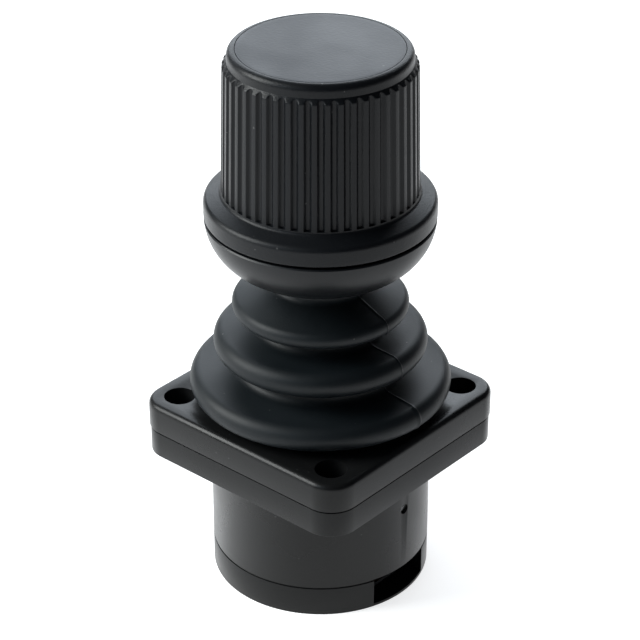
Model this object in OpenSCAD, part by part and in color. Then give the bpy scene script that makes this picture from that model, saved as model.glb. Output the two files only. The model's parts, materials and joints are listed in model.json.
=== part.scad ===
// Panel-mount three-axis industrial joystick: a round body under a square flange, a rubber
// bellows boot, and a ribbed twist knob over a smooth cup. The lever tilts on a gimbal and the
// knob twists on the lever, and springs bring all three axes back to the centre.
//
// Frame, in millimetres: the origin is the centre of the flange's underside, which is where the
// panel's top face lies. +Z runs up the lever at rest, and +X points to the connector window.

/* [Body below the panel] */
// Diameter of the round body
body_d = 45; // [43:0.5:60]
// Wall of the round body
body_wall = 2.2; // [1.6:0.1:3]
// Depth of the body below the panel
body_depth = 28; // [27:0.5:40]
// Height of the bottom cover
cover_h = 6.7; // [6.2:0.1:9]
// Width of the connector window in the bottom cover
window_w = 15.4; // [14:0.2:20]
// Thickness left under the connector window
window_sill = 0.6; // [0.4:0.1:1.2]

/* [Flange and bezel] */
// How far the flange stands out past the body on each side
flange_margin = 4; // [3.5:0.1:8]
// Radius of the flange's corners
flange_corner_r = 6; // [4:0.5:9]
// Thickness of the flange
flange_t = 5.4; // [4.5:0.1:8]
// Thickness of the bezel on top of the flange
bezel_t = 6.4; // [5.5:0.1:9]
// Rounding of the bezel's top edge
bezel_round = 1.3; // [0.5:0.1:2]
// Distance from the flange's sides to each bolt's centre
bolt_inset = 6.2; // [5.2:0.1:7]
// Diameter of the bolt holes
bolt_hole_d = 3.4; // [2.6:0.1:4.2]
// Diameter of the counterbores for the bolt heads
bolt_head_d = 6.4; // [5:0.1:7.6]
// Depth of the counterbores
bolt_head_depth = 4.2; // [3:0.1:4.8]

/* [Boot] */
// Diameter over the upper fold
fold_1_d = 35.4; // [32:0.1:40]
// Diameter over the middle fold
fold_2_d = 43.1; // [40:0.1:50]
// How far the lower fold hangs out over the boot's foot
fold_3_overhang = 4.8; // [4:0.1:6]
// Wall of the rubber
boot_wall = 1; // [0.7:0.1:1.2]

/* [Lever] */
// Depth of the tilt axes below the panel
pivot_depth = 7.3; // [7:0.1:9]
// Diameter of the lever's steel shaft
shaft_d = 7; // [6:0.5:9]
// Diameter of the gimbal's pins
pin_d = 2.1; // [1.6:0.1:2.6]
// Tilt to each side, in degrees
tilt_limit = 18; // [12:1:20]

/* [Knob] */
// Diameter over the knob's rim
rim_d = 45.8; // [44:0.2:56]
// Diameter over the ribs at their lower end
skirt_d = 38.8; // [36:0.2:46]
// How much the skirt's diameter tapers up to its top
skirt_taper = 1.3; // [0.4:0.1:3]
// Height of the knob from its lower edge to its top
knob_h = 34.9; // [32:0.1:44]
// Height of the gap between cup and knob above the panel
knob_base_z = 52.8; // [51:0.2:66]
// Number of ribs around the knob
rib_count = 48; // [24:2:60]
// Width of the half-round flutes between the ribs
flute_w = 1.3; // [1:0.1:1.8]
// Diameter of the column that the knob turns on
post_d = 14; // [13:0.2:15]
// Twist to each side, in degrees
twist_limit = 24; // [10:1:26]

/* [Fits] */
// Radial running clearance of a pin or column in its bore
running_fit = 0.04; // [0.02:0.01:0.08]
// Clearance between faces that pass each other
face_gap = 0.3; // [0.2:0.05:0.5]
// Clearance of a part that drops into its recess
seat_fit = 0.1; // [0.05:0.05:0.3]

/* [Hidden] */

$fn = 96;
black = [0.09, 0.09, 0.095];
rubber = [0.13, 0.14, 0.15];
steel = [0.72, 0.73, 0.75];
nylon = [0.85, 0.84, 0.8];
board_green = [0.1, 0.3, 0.16];
gold = [0.83, 0.66, 0.27];
spring_steel = [0.55, 0.56, 0.58];
magnet_grey = [0.3, 0.3, 0.32];

// Body and flange
body_r = body_d / 2;
bore_r = body_r - body_wall;
base_z = -body_depth;
cover_top_z = base_z + cover_h;
flange_w = body_d + 2 * flange_margin;
flange_step = 0.15;
bolt_xy = flange_w / 2 - bolt_inset;
bezel_top_z = flange_t + bezel_t;
seam_h = 0.4;
seam_depth = 0.8;
cover_step = 0.25;
peg_r = 1;
peg_h = 3;
peg_at = [flange_w / 2 - 2.4, 13.5];
cut = 1;

// Boot foot, and the gate plate under it
foot_edge = 2.1;
foot_r = flange_w / 2 - foot_edge;
foot_t = 1.8;
foot_top_z = flange_t + foot_t;
boot_neck_r = body_r - 0.8;
bezel_open_r = boot_neck_r + 0.4;
gate_t = 1.6;
gate_z = flange_t - gate_t;

// Boot: each fold is a half-round edge, given by the radius and height of its centre,
// its own radius, and the slope of the rubber above it
fold_edge = [1.85, 2.7, 2.65];
fold_slope = [21.7, 1.6, 4.4];
fold_h = [21.45, 13.2, 4];
valley_in = [1.5, 0.4];
neck_fillet = 1.5;
foot_fillet = 0.5;
fold_r = [fold_1_d / 2, fold_2_d / 2, boot_neck_r + fold_3_overhang];
folds = [for (i = [0:2])
    [fold_r[i] - fold_edge[i], bezel_top_z + fold_h[i], fold_edge[i], fold_slope[i]]];

// Gimbal
pivot_z = -pivot_depth;
pin_r = pin_d / 2;
pin_bore_r = pin_r + running_fit;
pin_sink = 0.7;
ring_r = bore_r - 6.3;
ring_in_r = ring_r - 4.4;
ring_half_h = 3.6;
pad_r = 3.4;
pad_x = ring_r + face_gap;
pivot_boss_r = 3.2;
pivot_boss_x = bore_r - 2.7;
hub_r = 6;
hub_half_h = 6;
hub_boss_r = 2.8;
hub_boss_y = hub_r + 0.4;
cross_pin_in = shaft_d / 2 + 0.5;
spring_wire_r = 0.3;
outer_coil_r = 2.5;
inner_coil_r = 2.2;

// Lever shaft, and the square gate that stops it at the tilt limit
shaft_r = shaft_d / 2;
shaft_bore_r = 1.8;
gate_reach = pivot_depth + flange_t;
lean = tan(tilt_limit) / cos(tilt_limit);
gate_half = gate_reach * lean + shaft_r * sqrt(1 + lean * lean) + face_gap;
shaft_low_z = pivot_z - 2.2;
holder_r = 3.4;
grub_r = 1.25;
hub_grub_z = pivot_z + 3.6;

// Electronics in the bottom cover
floor_t = 1.6;
floor_z = base_z + floor_t;
header_h = 4.2;
board_t = 1.6;
board_z = floor_z + header_h;
board_top_z = board_z + board_t;
spigot_out_r = bore_r - seat_fit;
spigot_in_r = bore_r - 1.7;
spigot_top_z = cover_top_z + 2.5;
board_r = spigot_in_r - 0.4;
header_front = board_r;
header_back = header_front - 8.4;
header_half_w = 6.2;
pin_pitch = 1.5;
board_post_at = 13;
board_post_r = 1.9;
board_screw_r = 0.9;
cover_screw_at = bore_r - 2;
screw_boss_r = 2.4;
cover_screw_r = 1.1;
screw_boss_top_z = cover_top_z + 8.3;
screw_head_r = 2.1;
screw_head_h = 1.4;
sensor_t = 1.5;
sensor_gap = 1.5;
magnet_low_z = board_top_z + sensor_t + sensor_gap;
tilt_magnet_r = 2.5;
tilt_magnet_h = 2.5;

// Cup, column and what turns on it
rim_r = rim_d / 2;
cup_gap = 0.5;
cup_top_z = knob_base_z - cup_gap;
cup_round = 11.6;
cup_centre = [rim_r - cup_round, cup_top_z + 0.7];
cup_wall = 2.2;
cup_low_z = cup_centre[1] - cup_round;
collar_r = 8.3;
neck_r = collar_r + face_gap + boot_wall;
cup_recess_r = neck_r + 0.4;
collar_low_z = bezel_top_z + 21;
collar_chamfer = 1.5;
collar_grub_z = cup_low_z - 5;
cup_roof_low_z = cup_low_z + 2.6;
cup_roof_top_z = cup_roof_low_z + 1.8;
boot_top_z = cup_roof_low_z - 0.2;
cup_boss_r = cup_recess_r + 3.1;
post_r = post_d / 2;
post_flange_t = 2;
post_flange_z = cup_roof_top_z + post_flange_t;
post_screw_at = cup_recess_r + 1.5;
post_screw_r = 0.9;
post_shoulder_r = post_r + 0.9;
shaft_top_z = knob_base_z + 5.2;
twist_board_t = 1;
twist_board_z = post_flange_z + twist_board_t;
twist_sensor_t = 1.2;
twist_magnet_z = twist_board_z + twist_sensor_t + 1;
twist_magnet_h = 2.6;
bush_wall = 1.5 - running_fit;
tube_in_r = post_r + running_fit + bush_wall;
tube_r = tube_in_r + 1.7;
tube_low_z = twist_magnet_z + twist_magnet_h;
shoulder_z = tube_low_z - face_gap;
bush_h = 8;
lead_r = 0.7;
lead_hole_r = 0.8;
lead_z = twist_board_z + lead_r;
lead_end_y = -(tube_in_r + 1);

// Knob shell
knob_top_z = knob_base_z + knob_h;
cap_t = 2.2;
cap_land = 0.15;
shoulder_round = 1.4;
web_top_z = knob_top_z - cap_t;
web_t = 2;
post_top_z = web_top_z - 9.5;
washer_t = 1.2;
retainer_r = 1.25;
retainer_head_r = 2.75;
retainer_l = 12;
upper_bush_z = post_top_z - face_gap - bush_h;
skirt_r = skirt_d / 2;
skirt_top_r = skirt_r - skirt_taper / 2;
rib_chamfer = 0.9;
shell_top_r = skirt_top_r - rib_chamfer;
rib_top_z = knob_top_z - 3.4;
skirt_wall = 2.4;
skirt_in_r = skirt_top_r - skirt_wall + 0.6;
rim_edge = 0.5;
rim_straight_z = knob_base_z + 2.9;
rim_in_r = rim_r - 2.6;
rim_round = 1.3;
flare_slope = 22;
fillet_r = 0.8;
flare_top = [rim_r - rim_round * (1 - sin(flare_slope)),
             rim_straight_z + rim_round * cos(flare_slope)];
flare_run = flare_top[0] - skirt_r - fillet_r * (1 - sin(flare_slope));
skirt_low_z = flare_top[1] + flare_run * tan(flare_slope) + fillet_r * cos(flare_slope);
cap_recess_r = shell_top_r - shoulder_round - cap_land;
cap_r = cap_recess_r - seat_fit;
flute_r = flute_w / 2;
taper_angle = atan((skirt_r - skirt_top_r) / (rib_top_z - skirt_low_z));

// Twist stops and twist spring
lug_half = 1.2;
lug_in_r = tube_r + 2.6;
lug_low_z = tube_low_z + 0.6;
rib_low_z = knob_base_z + 11.2;
stop_at = skirt_in_r - 0.7;
stop_r = 1.2;
stop_angle = twist_limit + asin(lug_half / stop_at) + asin(stop_r / stop_at)
             + face_gap / stop_at * 180 / PI;
stop_top_z = lug_low_z + 2.2;
twist_wire_r = 0.55;
twist_coil_r = tube_r + 0.85 + twist_wire_r;
twist_leg_at = lug_in_r + 1.4;
twist_leg_y = lug_half + twist_wire_r + 0.15;
twist_coil_z = twist_board_z + 1.6;
twist_pitch = 1.3;
tab_top_z = lug_low_z - 0.6;

// ---- Helpers ----

// Points along an arc in a profile, from angle a0 to a1 in n steps
function arc(centre, r, a0, a1, n) =
    [for (i = [0:n]) let (a = a0 + (a1 - a0) * i / n) centre + r * [cos(a), sin(a)]];

function unit(v) = v / norm(v);

function reversed(list) = [for (i = [len(list) - 1:-1:0]) list[i]];

// The profile shifted by d to its right-hand side as it is walked
function beside(path, d) =
    [for (i = [0:len(path) - 1])
        let (a = path[max(i - 1, 0)], b = path[min(i + 1, len(path) - 1)], t = unit(b - a))
        path[i] + d * [t[1], -t[0]]];

module tube(r_out, r_in, z_low, z_high) {
    translate([0, 0, z_low]) difference() {
        cylinder(r = r_out, h = z_high - z_low);
        translate([0, 0, -cut]) cylinder(r = r_in, h = z_high - z_low + 2 * cut);
    }
}

module rod(r, z_low, z_high) {
    translate([0, 0, z_low]) cylinder(r = r, h = z_high - z_low);
}

// Copies at the four corners of a square
module corners(p) {
    for (sx = [-1, 1], sy = [-1, 1]) translate([sx * p, sy * p, 0]) children();
}

// Copies around the Z axis, each moved out by r
module around(n, r, first = 0) {
    for (k = [0:n - 1]) rotate([0, 0, first + 360 * k / n]) translate([r, 0, 0]) children();
}

// Turns a shape made along +Z so that it lies along +X or +Y through the tilt centre
module along_x(side = 1) {
    translate([0, 0, pivot_z]) rotate([0, 90 * side, 0]) children();
}

module along_y(side = 1) {
    translate([0, 0, pivot_z]) rotate([-90 * side, 0, 0]) children();
}

// A square outline with true round corners
module rounded_square(w, r) {
    square([w - 2 * r, w], center = true);
    square([w, w - 2 * r], center = true);
    for (sx = [-1, 1], sy = [-1, 1]) translate([sx, sy] * (w / 2 - r)) circle(r);
}

// A square slab whose top edge is rounded all round
module rounded_slab(w, t, r, edge) {
    hull() corners(w / 2 - r) rotate_extrude($fn = 48)
        polygon(concat([[0, 0], [r, 0]], arc([r - edge, t - edge], edge, 0, 90, 6), [[0, t]]));
}

// A round wire swept along a path, as one closed mesh
module wire(path, r, sides = 8) {
    n = len(path);
    tangents = [for (i = [0:n - 1]) unit(path[min(i + 1, n - 1)] - path[max(i - 1, 0)])];
    start = unit(cross(tangents[0], [0.31, 0.52, 0.8]));
    normals = [for (i = 0, m = start; i < n; i = i + 1,
                    m = i < n ? unit(m - (m * tangents[i]) * tangents[i]) : m) m];
    points = [for (i = [0:n - 1], k = [0:sides - 1])
        let (a = 360 * k / sides, b = cross(tangents[i], normals[i]))
        path[i] + r * (cos(a) * normals[i] + sin(a) * b)];
    walls = [for (i = [0:n - 2], k = [0:sides - 1])
        let (p = i * sides + k, q = i * sides + (k + 1) % sides)
        [p, p + sides, q + sides, q]];
    ends = [[for (k = [0:sides - 1]) k], [for (k = [sides - 1:-1:0]) (n - 1) * sides + k]];
    polyhedron(points, concat(walls, ends), convexity = 6);
}

// Points of a coil around Z from angle a0, rising by pitch each turn
function coil(r, z, pitch, turns, a0, per_turn = 18) =
    let (n = ceil(turns * per_turn))
    [for (i = [0:n]) let (u = turns * i / n, a = a0 + 360 * u)
        [r * cos(a), r * sin(a), z + pitch * u]];

// A small torsion spring around Z, with a straight tangential leg at each end
module torsion_spring(r, pitch, turns, leg) {
    body = coil(r, 0, pitch, turns, 0, 16);
    last = body[len(body) - 1];
    end_dir = unit([-last[1], last[0], 0]);
    wire(concat([[r, -leg, 0]], body, [last + leg * end_dir]), spring_wire_r);
}

// ---- Fixed body: housing, bezel, boot, cover and electronics ----

module housing() {
    color(black) difference() {
        union() {
            difference() {
                union() {
                    rod(body_r, cover_top_z, flange_t / 2);
                    linear_extrude(flange_t)
                        rounded_square(flange_w - 2 * flange_step, flange_corner_r);
                }
                rod(bore_r, cover_top_z - cut, flange_t + cut);
                rod(foot_r + seat_fit, gate_z, flange_t + cut);
            }
            for (side = [-1, 1]) along_x(side)
                rod(pivot_boss_r, pivot_boss_x, bore_r + body_wall / 2);
            around(4, cover_screw_at, 45)
                rod(screw_boss_r, cover_top_z + seat_fit, screw_boss_top_z);
        }
        for (side = [-1, 1]) along_x(side) rod(pin_r, pivot_boss_x - cut, body_r + cut);
        around(4, cover_screw_at, 45)
            rod(cover_screw_r, cover_top_z - cut, screw_boss_top_z - 1.3);
        corners(bolt_xy) rod(bolt_hole_d / 2, -cut, flange_t + cut);
        around(4, 0) translate(peg_at) rod(peg_r + seat_fit, flange_t - peg_h - 0.4, flange_t + cut);
    }
}

module bezel() {
    color(black) difference() {
        union() {
            translate([0, 0, flange_t + seam_h])
                rounded_slab(flange_w, bezel_t - seam_h, flange_corner_r, bezel_round);
            translate([0, 0, flange_t]) linear_extrude(seam_h + bezel_round)
                rounded_square(flange_w - 2 * seam_depth, flange_corner_r - seam_depth);
            around(4, 0) translate(peg_at) rod(peg_r, flange_t - peg_h, flange_t + seam_h);
        }
        rod(bezel_open_r, flange_t - cut, bezel_top_z + cut);
        rod(foot_r + seat_fit, flange_t - cut, foot_top_z);
        translate([0, 0, bezel_top_z - 0.5])
            cylinder(r1 = bezel_open_r, r2 = bezel_open_r + 0.6, h = 0.6);
        corners(bolt_xy) {
            rod(bolt_hole_d / 2, flange_t - cut, bezel_top_z + cut);
            rod(bolt_head_d / 2, bezel_top_z - bolt_head_depth, bezel_top_z + cut);
        }
    }
}

// Steel plate with the square gate that stops the lever
module gate_plate() {
    color(steel) difference() {
        rod(foot_r, gate_z, flange_t);
        translate([0, 0, gate_z - cut]) linear_extrude(gate_t + 2 * cut)
            rounded_square(2 * gate_half, 2.5);
    }
}

function fold(f) = arc([f[0], f[1]], f[2], 90 - f[3], -90, 14);

// The half-round valley at radius x, from the underside of fold f to the slope above fold g
function valley(f, g, x) =
    let (under_z = f[1] - f[2],
         slope_top = [g[0] + g[2] * sin(g[3]), g[1] + g[2] * cos(g[3])],
         rise = under_z - slope_top[1] - tan(g[3]) * (slope_top[0] - x),
         r = rise / (1 + 1 / cos(g[3])))
    arc([x, under_z - r], r, 90, 270 - g[3], 10);

top_edge = fold(folds[0])[0];
top_slope = folds[0][3];
neck_run = top_edge[0] - neck_r - neck_fillet * (1 - sin(top_slope));
neck_turn_z = top_edge[1] + tan(top_slope) * neck_run + neck_fillet * cos(top_slope);
boot_outline = concat(
    [[neck_r, boot_top_z]],
    arc([neck_r + neck_fillet, neck_turn_z], neck_fillet, 180, 270 - top_slope, 5),
    fold(folds[0]), valley(folds[0], folds[1], folds[0][0] - valley_in[0]),
    fold(folds[1]), valley(folds[1], folds[2], folds[1][0] - valley_in[1]),
    fold(folds[2]),
    arc([boot_neck_r + foot_fillet, folds[2][1] - folds[2][2] - foot_fillet],
        foot_fillet, 90, 180, 4),
    [[boot_neck_r, foot_top_z]]);
boot_foot = [[foot_r, foot_top_z], [foot_r, flange_t], [boot_neck_r - boot_wall, flange_t]];

module boot() {
    color(rubber) rotate_extrude()
        polygon(concat(boot_outline, boot_foot, reversed(beside(boot_outline, boot_wall))));
}

module bottom_cover() {
    color(black) difference() {
        union() {
            difference() {
                union() {
                    rod(body_r, base_z, cover_top_z - seam_h);
                    rod(body_r - cover_step, base_z, cover_top_z);
                    rod(spigot_out_r, base_z, spigot_top_z);
                }
                rod(spigot_in_r, floor_z, spigot_top_z + cut);
                around(4, cover_screw_at, 45)
                    rod(screw_boss_r + seat_fit, cover_top_z, spigot_top_z + cut);
            }
            around(4, cover_screw_at, 45) rod(screw_boss_r, base_z, cover_top_z);
            around(3, board_post_at, 60) rod(board_post_r, floor_z - 0.5, board_z);
        }
        around(4, cover_screw_at, 45) {
            rod(cover_screw_r + 0.2, base_z - cut, cover_top_z + cut);
            rod(screw_head_r + seat_fit, base_z - cut, base_z + screw_head_h);
        }
        around(3, board_post_at, 60) rod(board_screw_r, floor_z + 0.8, board_z + cut);
        translate([header_front, -window_w / 2, base_z + window_sill])
            cube([body_r, window_w, spigot_top_z - base_z]);
        translate([header_back + cut, -window_w / 2, floor_z])
            cube([body_r, window_w, spigot_top_z - base_z]);
    }
}

module cover_screws() {
    color(steel) around(4, cover_screw_at, 45) difference() {
        union() {
            rod(screw_head_r, base_z + 0.1, base_z + screw_head_h);
            rod(cover_screw_r, base_z + 0.5, screw_boss_top_z - 1.5);
        }
        translate([0, 0, base_z]) cylinder(r = 1, h = 1, $fn = 6);
    }
}

module circuit_board() {
    color(board_green) difference() {
        rod(board_r, board_z, board_top_z);
        around(4, cover_screw_at, 45)
            rod(screw_boss_r + face_gap, board_z - cut, board_top_z + cut);
        around(3, board_post_at, 60) rod(board_screw_r + 0.2, board_z - cut, board_top_z + cut);
    }
}

module board_screws() {
    color(steel) around(3, board_post_at, 60) {
        rod(board_screw_r, floor_z + 0.9, board_top_z + 0.2);
        rod(board_screw_r + 0.8, board_top_z, board_top_z + 1.2);
    }
}

// Regulator, filter capacitor and two output drivers on the circuit board
module board_parts() {
    color(magnet_grey) translate([0, 0, board_top_z]) {
        translate([-11.5, 4, 0]) cube([4, 4, 1.6]);
        translate([-9.5, -7, 0]) cylinder(r = 2, h = 2.2);
        for (side = [-1, 1]) translate([9.2, side * 3.4 - 1.9, 0]) cube([5, 3.8, 1.5]);
    }
}

module tilt_sensor() {
    color(black) translate([-2.5, -2, board_top_z]) cube([5, 4, sensor_t]);
}

module connector_header() {
    color(black) difference() {
        translate([header_back, -header_half_w, floor_z])
            cube([header_front - header_back, 2 * header_half_w, header_h]);
        translate([header_back + 2, 0.8 - header_half_w, floor_z + 0.7])
            cube([header_front, 2 * header_half_w - 1.6, header_h - 1.4]);
    }
}

module connector_pins() {
    color(gold) for (column = [-2:2], row = [-0.5, 0.5])
        translate([header_back + 2, column * pin_pitch - 0.25,
                   floor_z + header_h / 2 + row * pin_pitch - 0.25])
            cube([5, 0.5, 0.5]);
}

module pivot_pins() {
    color(steel) for (side = [-1, 1]) along_x(side)
        rod(pin_r, ring_in_r + 0.6, body_r - pin_sink);
}

module outer_springs() {
    turns = 3.2;
    room = pivot_boss_x - pad_x - 2 * spring_wire_r - 0.2;
    color(spring_steel) for (side = [-1, 1]) along_x(side)
        translate([0, 0, pad_x + spring_wire_r + 0.1])
            torsion_spring(outer_coil_r, room / turns, turns, 3);
}

// ---- Gimbal ----

module gimbal_ring() {
    color(nylon) difference() {
        union() {
            tube(ring_r, ring_in_r, pivot_z - ring_half_h, pivot_z + ring_half_h);
            for (side = [-1, 1]) along_x(side) rod(pad_r, ring_in_r + 1, pad_x);
        }
        for (side = [-1, 1]) {
            along_x(side) rod(pin_bore_r, ring_in_r - cut, pad_x + cut);
            along_y(side) rod(pin_r, ring_in_r - cut, ring_r + cut);
        }
    }
}

module cross_pins() {
    color(steel) for (side = [-1, 1]) along_y(side) rod(pin_r, cross_pin_in, ring_r - 0.4);
}

module inner_springs() {
    turns = 2.3;
    room = ring_in_r - hub_boss_y - 1.3;
    color(spring_steel) for (side = [-1, 1]) along_y(side)
        translate([0, 0, hub_boss_y + spring_wire_r + 0.1])
            torsion_spring(inner_coil_r, room / turns, turns, 2.4);
}

// ---- Lever ----

module grub_hole(z, r) {
    translate([0, 0, z]) rotate([0, 90, 0]) rod(grub_r, shaft_r - 0.5, r + cut);
}

module lever_hub() {
    color(nylon) difference() {
        union() {
            rod(hub_r, pivot_z - hub_half_h, pivot_z + hub_half_h);
            for (side = [-1, 1]) along_y(side) rod(hub_boss_r, 0, hub_boss_y);
        }
        rod(shaft_r, pivot_z - hub_half_h - cut, pivot_z + hub_half_h + cut);
        for (side = [-1, 1]) along_y(side)
            rod(pin_bore_r, cross_pin_in - 0.2, hub_boss_y + cut);
        grub_hole(hub_grub_z, hub_r);
    }
}

// Grub screws that lock the hub and the boot collar on the shaft
module set_screws() {
    color(steel) {
        translate([0, 0, hub_grub_z]) rotate([0, 90, 0]) rod(grub_r, shaft_r, hub_r - 0.3);
        translate([0, 0, collar_grub_z]) rotate([0, 90, 0]) rod(grub_r, shaft_r, collar_r - 0.8);
    }
}

module magnet_holder() {
    color(nylon) difference() {
        union() {
            rod(shaft_r, pivot_z - hub_half_h - 0.5, shaft_low_z);
            rod(holder_r, magnet_low_z, pivot_z - hub_half_h);
        }
        rod(tilt_magnet_r, magnet_low_z - cut, magnet_low_z + tilt_magnet_h);
    }
}

module tilt_magnet() {
    color(magnet_grey) rod(tilt_magnet_r, magnet_low_z, magnet_low_z + tilt_magnet_h);
}

module lever_shaft() {
    color(steel) difference() {
        tube(shaft_r, shaft_bore_r, shaft_low_z, shaft_top_z);
        translate([0, 0, lead_z]) rotate([90, 0, 0]) rod(lead_hole_r, 0, shaft_r + cut);
    }
}

module boot_collar() {
    color(nylon) difference() {
        union() {
            rod(collar_r, collar_low_z + collar_chamfer, cup_roof_low_z);
            translate([0, 0, collar_low_z])
                cylinder(r1 = collar_r - collar_chamfer, r2 = collar_r, h = collar_chamfer);
        }
        rod(shaft_r, collar_low_z - cut, cup_roof_low_z + cut);
        grub_hole(collar_grub_z, collar_r);
    }
}

module handle_cup() {
    lip_r = rim_in_r - face_gap;
    top_angle = -asin((cup_centre[1] - cup_top_z) / cup_round);
    in_round = cup_round - cup_wall;
    in_start = -acos((cup_boss_r + 0.2 - cup_centre[0]) / in_round);
    lip_angle = asin((cup_top_z - 1 - cup_centre[1]) / in_round);
    profile = concat(
        [[shaft_r, cup_roof_low_z], [cup_recess_r, cup_roof_low_z], [cup_recess_r, cup_low_z]],
        arc(cup_centre, cup_round, -90, top_angle, 14),
        [[lip_r, cup_top_z], [lip_r, cup_top_z + 1.6], [lip_r - 1, cup_top_z + 1.6]],
        arc(cup_centre, in_round, lip_angle - 6, in_start, 8),
        [[cup_boss_r, cup_roof_top_z], [shaft_r, cup_roof_top_z]]);
    color(black) difference() {
        union() {
            rotate_extrude() polygon(profile);
            for (side = [-1, 1]) rotate([0, 0, 180 + side * stop_angle]) translate([stop_at, 0, 0])
                rod(stop_r, cup_low_z + 3.4, stop_top_z);
            translate([-lug_in_r - 2.4, -lug_half, cup_low_z + 2.2])
                cube([1.8, 2 * lug_half, tab_top_z - cup_low_z - 2.2]);
        }
        around(3, post_screw_at, 30) rod(post_screw_r, cup_low_z + 1.1, cup_roof_top_z + cut);
    }
}

module handle_post() {
    color(nylon) difference() {
        union() {
            rod(cup_boss_r, cup_roof_top_z, post_flange_z);
            rod(post_shoulder_r, cup_roof_top_z, shoulder_z);
            rod(post_r, cup_roof_top_z, post_top_z);
        }
        rod(shaft_r, cup_roof_top_z - cut, shaft_top_z);
        rod(retainer_r, post_top_z - retainer_l - 1, post_top_z + cut);
        around(3, post_screw_at, 30) {
            rod(post_screw_r + 0.1, cup_roof_top_z - cut, post_flange_z + cut);
            translate([0, 0, post_flange_z - 0.9])
                cylinder(r1 = post_screw_r + 0.1, r2 = post_screw_r + 1, h = 0.9);
        }
        translate([0, 0, lead_z]) rotate([90, 0, 0])
            rod(lead_hole_r, shaft_r - 0.5, post_shoulder_r + cut);
    }
}

module post_screws() {
    color(steel) around(3, post_screw_at, 30) {
        rod(post_screw_r, cup_low_z + 1.3, post_flange_z);
        translate([0, 0, post_flange_z - 0.85])
            cylinder(r1 = post_screw_r, r2 = post_screw_r + 0.85, h = 0.85);
    }
}

module twist_board() {
    color(board_green)
        tube(cup_boss_r, post_shoulder_r + 0.2, post_flange_z, twist_board_z);
}

module twist_sensor() {
    middle = (tube_in_r + tube_r) / 2;
    color(black) translate([-1.3, middle - 1.3, twist_board_z]) cube([2.6, 2.6, twist_sensor_t]);
}

// Three-core lead from the twist board down the hollow shaft
module sensor_lead() {
    color(black) {
        rod(lead_r, shaft_low_z, lead_z);
        translate([0, 0, lead_z]) sphere(lead_r);
        translate([0, 0, lead_z]) rotate([90, 0, 0]) rod(lead_r, 0, -lead_end_y);
    }
}

module twist_spring() {
    offset_angle = asin(twist_leg_y / twist_coil_r);
    turns = 5 + offset_angle / 180;
    body = coil(twist_coil_r, twist_coil_z, twist_pitch, turns, 180 - offset_angle, 20);
    high_z = twist_coil_z + twist_pitch * turns;
    bend = 0.5;
    leg = [[-twist_leg_at, twist_leg_y, high_z + 0.6],
           [-twist_leg_at, twist_leg_y, twist_coil_z + bend],
           [-twist_leg_at + bend, twist_leg_y, twist_coil_z]];
    far_leg = [[-twist_leg_at + bend, -twist_leg_y, high_z],
               [-twist_leg_at, -twist_leg_y, high_z - bend],
               [-twist_leg_at, -twist_leg_y, twist_coil_z - 0.6]];
    color(spring_steel) wire(concat(leg, body, far_leg), twist_wire_r);
}

module post_washer() {
    color(steel) tube(tube_in_r - face_gap, 1.5, post_top_z, post_top_z + washer_t);
}

module retaining_screw() {
    low_z = post_top_z + washer_t;
    color(steel) difference() {
        union() {
            rod(retainer_r, post_top_z - retainer_l, low_z + 0.5);
            rod(retainer_head_r, low_z, low_z + 1.8);
        }
        translate([0, 0, low_z + 0.9]) cylinder(r = 1.4, h = 1, $fn = 6);
    }
}

// ---- Knob ----

// Outer and inner outline of the knob's shell
shell_outline = concat(
    [[rim_in_r, knob_base_z], [rim_r - rim_edge, knob_base_z]],
    arc([rim_r - rim_edge, knob_base_z + rim_edge], rim_edge, -90, 0, 3),
    arc([rim_r - rim_round, rim_straight_z], rim_round, 0, 90 - flare_slope, 5),
    arc([skirt_r + fillet_r, skirt_low_z], fillet_r, 270 - flare_slope, 180, 4),
    [[skirt_top_r, rib_top_z], [shell_top_r, rib_top_z + rib_chamfer]],
    arc([shell_top_r - shoulder_round, knob_top_z - shoulder_round], shoulder_round, 0, 90, 6),
    [[cap_recess_r, knob_top_z], [cap_recess_r, web_top_z],
     [tube_in_r, web_top_z], [tube_in_r, tube_low_z],
     [tube_r, tube_low_z], [tube_r, web_top_z - web_t], [skirt_in_r, web_top_z - web_t],
     [skirt_in_r, skirt_low_z - 0.4], [rim_in_r, rim_straight_z - 0.9]]);

module knob_shell() {
    color(black) difference() {
        union() {
            rotate_extrude() polygon(shell_outline);
            around(6, 0) translate([tube_r - 0.5, -0.8, rib_low_z])
                cube([skirt_in_r - tube_r + 1, 1.6, web_top_z - web_t - rib_low_z + 0.5]);
            translate([-skirt_in_r - 0.4, -lug_half, lug_low_z])
                cube([skirt_in_r + 0.4 - lug_in_r, 2 * lug_half, rib_low_z - lug_low_z + 1]);
        }
        around(rib_count, 0) translate([skirt_r, 0, skirt_low_z]) rotate([0, -taper_angle, 0])
            cylinder(r = flute_r, h = rib_top_z - skirt_low_z + 2, $fn = 24);
    }
}

// Flush disc that closes the top of the knob
module knob_cap() {
    color(black) rod(cap_r, web_top_z, knob_top_z);
}

module twist_bushes() {
    color(nylon) for (z = [tube_low_z, upper_bush_z])
        tube(tube_in_r, post_r + running_fit, z, z + bush_h);
}

module twist_magnet() {
    color(magnet_grey)
        tube(tube_r, post_shoulder_r + 0.4, twist_magnet_z, tube_low_z);
}

housing();
bezel();
gate_plate();
boot();
bottom_cover();
cover_screws();
circuit_board();
board_screws();
board_parts();
tilt_sensor();
connector_header();
connector_pins();
pivot_pins();
outer_springs();
gimbal_ring();
cross_pins();
inner_springs();
lever_hub();
set_screws();
magnet_holder();
tilt_magnet();
lever_shaft();
boot_collar();
handle_cup();
handle_post();
post_screws();
twist_board();
twist_sensor();
sensor_lead();
twist_spring();
post_washer();
retaining_screw();
knob_shell();
knob_cap();
twist_bushes();
twist_magnet();
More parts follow.
